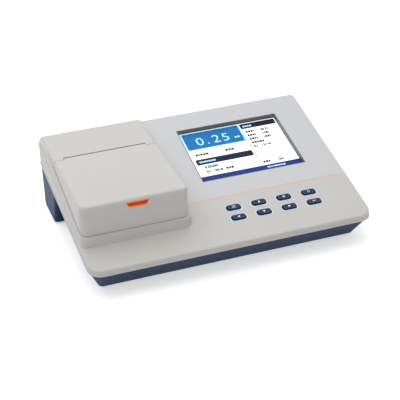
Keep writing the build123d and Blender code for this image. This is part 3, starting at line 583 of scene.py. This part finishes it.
class METER_OT_keys(Operator):
    """Finish the key caps and print a mark on each"""

    bl_idname = "meter.keys"
    bl_label = "Keys"

    def execute(self, context):
        colours, sizes = context.scene.meter_colours, context.scene.meter_sizes
        cap = moulded(
            "key_blue", colours.keys, roughness=0.34, grain=0.0004, depth=0.00001, mottle=0.04, gloss=0.15
        )
        inks = [printed("key_mark", colours.marks), printed("key_rim_highlight_ink", colours.key_rim_highlight)]
        for name in KEYS:
            dress(cap, f"key_{name}")
            self.print_mark(name, inks, sizes)
        return {"FINISHED"}

    def print_mark(self, name, inks, sizes):
        """Print one mark on top of a key, with the pale line round it that is a painted highlight of the
        edge round the key's middle.
        """
        low, high = panel_extent(f"key_{name}")
        across, uphill = (low.x + high.x) / 2, (low.y + high.y) / 2

        def build(bm):
            sheet = Sheet(bm, across, uphill, high.z + sizes.print_lift)
            inner = [size - KEY_RIM_HIGHLIGHT_WIDTH for size in KEY_RIM_HIGHLIGHT]
            # Painted highlight round the middle of the key
            sheet.band(rounded_outline(*KEY_RIM_HIGHLIGHT), rounded_outline(*inner), 1)
            KEY_MARKS[name](sheet, sizes.mark_size / MM / 2)

        new_piece(f"key_print_{name}", build, inks, f"{name}_key")


def arrow_mark(turn):
    """Triangle that points up, turned by an angle."""

    def draw(sheet, size):
        rotation = Matrix.Rotation(turn, 2)
        corners = [rotation @ Vector(p) for p in ((-size, -0.75 * size), (size, -0.75 * size), (0, size))]
        sheet.shape([(c.x, c.y) for c in corners], 0)

    return draw


def list_mark(sheet, size):
    """Three short bars."""
    half = 0.2
    for n in (-1, 0, 1):
        level = n * 0.75 * size
        sheet.bar(-1.3 * size, level - half, 1.3 * size, level + half, 0)


def target_mark(sheet, size):
    """Ring with a dot."""
    line = 0.42
    sheet.band(circle(size), circle(size - line), 0)
    sheet.shape(circle(0.4 * size, count=16), 0)


def standby_mark(sheet, size):
    """Broken ring with a bar through the gap."""
    line = 0.42
    arc = {"count": 24, "start": math.radians(125), "turn": math.radians(290)}
    sheet.band(circle(size, **arc), circle(size - line, **arc), 0, closed=False)
    sheet.bar(-line / 2, 0.1 * size, line / 2, 1.15 * size, 0)


def return_mark(sheet, size):
    """Arrow that comes down and goes to the left."""
    line = 0.44
    sheet.bar(-0.5 * size, -line / 2, 1.3 * size, line / 2, 0)
    sheet.bar(1.3 * size - line, line / 2, 1.3 * size, size, 0)
    sheet.shape([(-1.4 * size, 0), (-0.5 * size, -0.7 * size), (-0.5 * size, 0.7 * size)], 0)


KEY_MARKS = {
    "mode": list_mark,
    "up": arrow_mark(0.0),
    "adjust": target_mark,
    "power": standby_mark,
    "left": arrow_mark(math.pi / 2),
    "down": arrow_mark(math.pi),
    "right": arrow_mark(-math.pi / 2),
    "enter": return_mark,
}


class METER_OT_line(Operator):
    """Print the thin line across the panel, and paint the pale line round each key as a painted highlight
    """

    bl_idname = "meter.line"
    bl_label = "Panel prints"

    def execute(self, context):
        colours, sizes = context.scene.meter_colours, context.scene.meter_sizes
        ink = printed("line_orange", colours.line)
        # The bezel's top is flush with the panel
        surface = panel_extent("display_bezel")[1].z
        y = cad_low.y + sizes.line_from_front
        uphill = (y + surface * math.sin(TILT)) / math.cos(TILT)
        start = cad_low.x + sizes.line_start
        length = (sizes.line_end - sizes.line_start) / MM

        def build(bm):
            sheet = Sheet(bm, start, uphill, surface + sizes.print_lift)
            half = sizes.line_width / MM / 2
            runs = 24
            for n in range(runs):
                sheet.bar(length * n / runs, -half, length * (n + 1) / runs, half, 0)

        new_piece("panel_line", build, [ink], "housing")
        self.paint_ring_highlights(colours, sizes, surface)
        return {"FINISHED"}

    def paint_ring_highlights(self, colours, sizes, surface):
        """Paint a pale line on the panel round each key, a painted highlight of the gap round the key."""
        ink = printed("ring_highlight_ink", colours.key_ring_highlight)

        def build(bm):
            for name in KEYS:
                low, high = panel_extent(f"key_{name}")
                middle = (low + high) / 2
                sheet = Sheet(bm, middle.x, middle.y, surface + sizes.print_lift)
                # Painted highlight on the panel round the key
                sheet.band(rounded_outline(*RING_HIGHLIGHT_OUTER), rounded_outline(*RING_HIGHLIGHT_INNER), 0)

        new_piece("key_ring_highlights", build, [ink], "housing")


class METER_OT_screen(Operator):
    """Show a plain reading on the lit screen"""

    bl_idname = "meter.screen"
    bl_label = "Screen"

    def execute(self, context):
        colours, sizes = context.scene.meter_colours, context.scene.meter_sizes
        module = moulded("module_grey", paint(70, 72, 76), roughness=0.4, grain=0.0006, depth=0.00002)
        dress(module, "display_module")
        dress(clear("window_sheet", alpha=0.02, roughness=0.03), "display_window")
        low, high = panel_extent("display_window")
        middle = (low + high) / 2
        across = middle.x - sizes.screen_width / 2
        uphill = middle.y - sizes.screen_height / 2
        fields = [
            lit("screen_page", colours.page, strength=0.5),
            lit("screen_reading", colours.reading, strength=0.25),
            lit("screen_heading", colours.heading, strength=0.1),
            lit("screen_status", colours.status, strength=0.25),
            lit("screen_halo", colours.halo, strength=0.4),
            lit("screen_ink", colours.ink, strength=0.05),
        ]

        def build(bm):
            sheet = Sheet(bm, across, uphill, low.z + sizes.print_lift)
            draw_screen(sheet, sizes)

        new_piece("screen_picture", build, fields, "housing")
        return {"FINISHED"}


def draw_screen(sheet, sizes):
    """Fields, bars, digits and small marks of the picture, in millimetres from its lower left corner."""
    page, reading, heading, status, halo, ink = range(6)
    width, height = sizes.screen_width / MM, sizes.screen_height / MM
    title_height, word_height, value_height, tall_value_height = 2.6, 3.4, 3.6, 3.8
    left_column, right_column = 11.0, 75.0
    sheet.bar(0, 0, width, height, page)
    sheet.bar(2.4, 56.4, 71.2, 86.4, halo, 1, 2.2)
    sheet.bar(4.2, 57.8, 69.6, 85.2, reading, 2, 1.4)
    for digit, place in (("0", 16.0), (".", 27.4), ("2", 35.0), ("5", 46.0)):
        sheet.text(digit, sizes.reading_height / MM, place, 63.4, halo, 3)
    words(sheet, 60.2, 65.0, (1.6, 1.4, 1.8), 2.8, halo, 3)

    frame_box(sheet, 4.4, 43.0, 69.6, 54.0, halo)
    words(sheet, 8.2, 46.4, (2.6, 1.6, 2.8, 2.4, 3.2), word_height, ink)
    words(sheet, 42.4, 46.4, (3.2, 2.6, 3.0), word_height, ink)

    sheet.bar(5.0, 31.4, 69.8, 40.6, heading, 1, 1.2)
    words(sheet, 8.4, 34.6, (2.4, 1.6, 2.2, 1.8, 2.6, 2.0, 2.4), title_height, halo, 2)
    sheet.text("0.0250", tall_value_height, left_column, 25.0, ink, 1)
    sheet.text("01  20.0", tall_value_height, left_column, 17.6, ink, 1)
    words(sheet, 33.0, 17.8, (2.6, 2.0, 3.0), word_height, ink)

    sheet.bar(72.0, 77.0, 113.4, 85.6, heading, 1, 1.2)
    words(sheet, right_column, 79.8, (2.0, 2.4, 1.8, 2.4), title_height, halo, 2)
    for row, digits in enumerate(("20.0", "100", "400")):
        level = 69.6 - row * 6.4
        words(sheet, right_column, level, (2.2, 2.6, 2.0, 1.2), word_height, ink)
        sheet.text(digits, value_height, 92.0, level, ink, 1)
    words(sheet, right_column, 50.2, (2.4, 2.8, 2.0, 2.8, 2.2), word_height, ink)
    sheet.text("01  12:30", value_height, right_column, 43.6, ink, 1)
    sheet.bar(71.6, 24.0, 72.2, 77.0, heading, 1)
    sheet.bar(72.4, 23.6, 113.6, 25.0, halo, 1)
    words(sheet, right_column, 16.0, (2.2, 2.8, 2.0), word_height, ink)
    sheet.text("04", value_height, 93.0, 16.0, ink, 1)

    sheet.bar(0, 0, width, 12.4, status, 1)
    words(sheet, 76.0, 7.4, (4.0, 1.2, 1.2, 4.0, 2.0, 2.0, 3.0), 2.2, halo, 2)


def words(sheet, x, y, lengths, height, finish, step=1):
    """Row of small bars that stand in for words."""
    gap = 0.55
    for length in lengths:
        sheet.bar(x, y, x + length, y + height, finish, step)
        x += length + gap


def frame_box(sheet, x1, y1, x2, y2, finish):
    """Thin frame of a field."""
    line = 0.35
    sheet.bar(x1, y1, x2, y1 + line, finish, 1)
    sheet.bar(x1, y2 - line, x2, y2, finish, 1)
    sheet.bar(x1, y1, x1 + line, y2, finish, 1)
    sheet.bar(x2 - line, y1, x2, y2, finish, 1)


# Studio


class METER_OT_stage(Operator):
    """Set up the floor, the light and the camera"""

    bl_idname = "meter.stage"
    bl_label = "Studio"

    def execute(self, context):
        settings = context.scene.meter_stage
        self.floor(settings)
        self.sky(settings)
        self.lamp(settings)
        self.camera(settings)
        context.scene.view_settings.view_transform = "Standard"
        return {"FINISHED"}

    def floor(self, settings):
        """Pale floor that keeps the shadow and runs out to white."""
        half = settings.floor_size / 2
        mesh = bpy.data.meshes.new("floor")
        corners = [(-half, -half, 0), (half, -half, 0), (half, half, 0), (-half, half, 0)]
        mesh.from_pydata(corners, [], [(0, 1, 2, 3)])
        floor = bpy.data.objects.new("floor", mesh)
        bpy.context.scene.collection.objects.link(floor)
        finish = Finish("floor_paper")
        finish.colour(finish.mottled(paint(232, 232, 232), amount=0.004, size=0.3))
        finish.rough(0.85, 0.95, size=0.02)
        finish.fixed(Specular_IOR_Level=0.1, Emission_Color=(1, 1, 1, 1))
        glow = finish.add("ShaderNodeMath", operation="MULTIPLY")
        glow.inputs[1].default_value = settings.floor_glow
        finish.join(self.seen(finish.tree), glow.inputs[0])
        finish.join(glow.outputs[0], finish.shader.inputs["Emission Strength"])
        mesh.materials.append(finish.material)

    def seen(self, tree):
        """1 for rays that reach the camera, straight or by way of gloss or glass."""
        path = tree.nodes.new("ShaderNodeLightPath")
        total = path.outputs["Is Camera Ray"]
        for name in ("Is Glossy Ray", "Is Transmission Ray"):
            node = tree.nodes.new("ShaderNodeMath")
            node.operation = "MAXIMUM"
            tree.links.new(total, node.inputs[0])
            tree.links.new(path.outputs[name], node.inputs[1])
            total = node.outputs[0]
        return total

    def sky(self, settings):
        """White surroundings that light the object evenly."""
        world = bpy.data.worlds.new("studio")
        world.use_nodes = True
        tree = world.node_tree
        light = tree.nodes["Background"]
        light.inputs["Color"].default_value = (1, 1, 1, 1)
        light.inputs["Strength"].default_value = settings.sky_light
        white = tree.nodes.new("ShaderNodeBackground")
        white.inputs["Strength"].default_value = 1.0
        white.inputs["Color"].default_value = (1, 1, 1, 1)
        choice = tree.nodes.new("ShaderNodeMixShader")
        tree.links.new(self.seen(tree), choice.inputs[0])
        tree.links.new(light.outputs[0], choice.inputs[1])
        tree.links.new(white.outputs[0], choice.inputs[2])
        tree.links.new(choice.outputs[0], tree.nodes["World Output"].inputs["Surface"])
        bpy.context.scene.world = world

    def lamp(self, settings):
        """Soft square lamp that points at the object."""
        data = bpy.data.lights.new("key_lamp", "AREA")
        data.energy = settings.key_light
        data.size = LAMP_SIZE
        lamp = bpy.data.objects.new("key_lamp", data)
        lamp.location = LAMP_PLACE
        lamp.rotation_euler = (-Vector(LAMP_PLACE)).to_track_quat("-Z", "Y").to_euler()
        bpy.context.scene.collection.objects.link(lamp)

    def camera(self, settings):
        """Camera in the place from which the photograph was taken."""
        data = bpy.data.cameras.new("camera")
        data.sensor_width = 36
        data.lens = settings.lens
        data.clip_start = 0.05
        data.clip_end = 60
        camera = bpy.data.objects.new("camera", data)
        azimuth, elevation, roll = (math.radians(angle) for angle in CAMERA_ANGLES)
        forward = Vector(
            (
                math.sin(azimuth) * math.cos(elevation),
                math.cos(azimuth) * math.cos(elevation),
                -math.sin(elevation),
            )
        )
        level = Vector((math.cos(azimuth), -math.sin(azimuth), 0))
        upright = level.cross(forward)
        side = level * math.cos(roll) + upright * math.sin(roll)
        top = upright * math.cos(roll) - level * math.sin(roll)
        turn = Matrix((side, top, -forward)).transposed().to_4x4()
        eye = Vector((0, cad_low.y, 0)) + Vector(CAMERA_PLACE)
        camera.matrix_world = Matrix.Translation(eye) @ turn
        bpy.context.scene.collection.objects.link(camera)
        bpy.context.scene.camera = camera


class METER_PT_panel(Panel):
    """Settings and steps of the turbidity meter"""

    bl_idname = "METER_PT_panel"
    bl_label = "Turbidity meter"
    bl_space_type = "VIEW_3D"
    bl_region_type = "UI"
    bl_category = "Turbidity meter"

    def draw(self, context):
        for step in STEPS:
            self.layout.operator(step.bl_idname)
        for group in (context.scene.meter_colours, context.scene.meter_sizes, context.scene.meter_stage):
            box = self.layout.box()
            for name in group.__annotations__:
                box.prop(group, name)


STEPS = (
    METER_OT_housing,
    METER_OT_pull,
    METER_OT_compartment,
    METER_OT_hardware,
    METER_OT_keys,
    METER_OT_line,
    METER_OT_screen,
    METER_OT_stage,
)
GROUPS = {"meter_colours": MeterColours, "meter_sizes": MeterSizes, "meter_stage": MeterStage}


def register():
    """Make the settings, steps and panel known."""
    for cls in (*GROUPS.values(), *STEPS, METER_PT_panel):
        bpy.utils.register_class(cls)
    for name, group in GROUPS.items():
        setattr(bpy.types.Scene, name, PointerProperty(type=group))


def unregister():
    """Take the settings, steps and panel away again."""
    for name in GROUPS:
        delattr(bpy.types.Scene, name)
    for cls in reversed((*GROUPS.values(), *STEPS, METER_PT_panel)):
        bpy.utils.unregister_class(cls)


def main():
    """Run every step in order."""
    register()
    bpy.ops.meter.housing()
    bpy.ops.meter.finger_pull()
    bpy.ops.meter.compartment()
    bpy.ops.meter.hardware()
    bpy.ops.meter.keys()
    bpy.ops.meter.line()
    bpy.ops.meter.screen()
    bpy.ops.meter.stage()


if __name__ == "__main__":
    main()
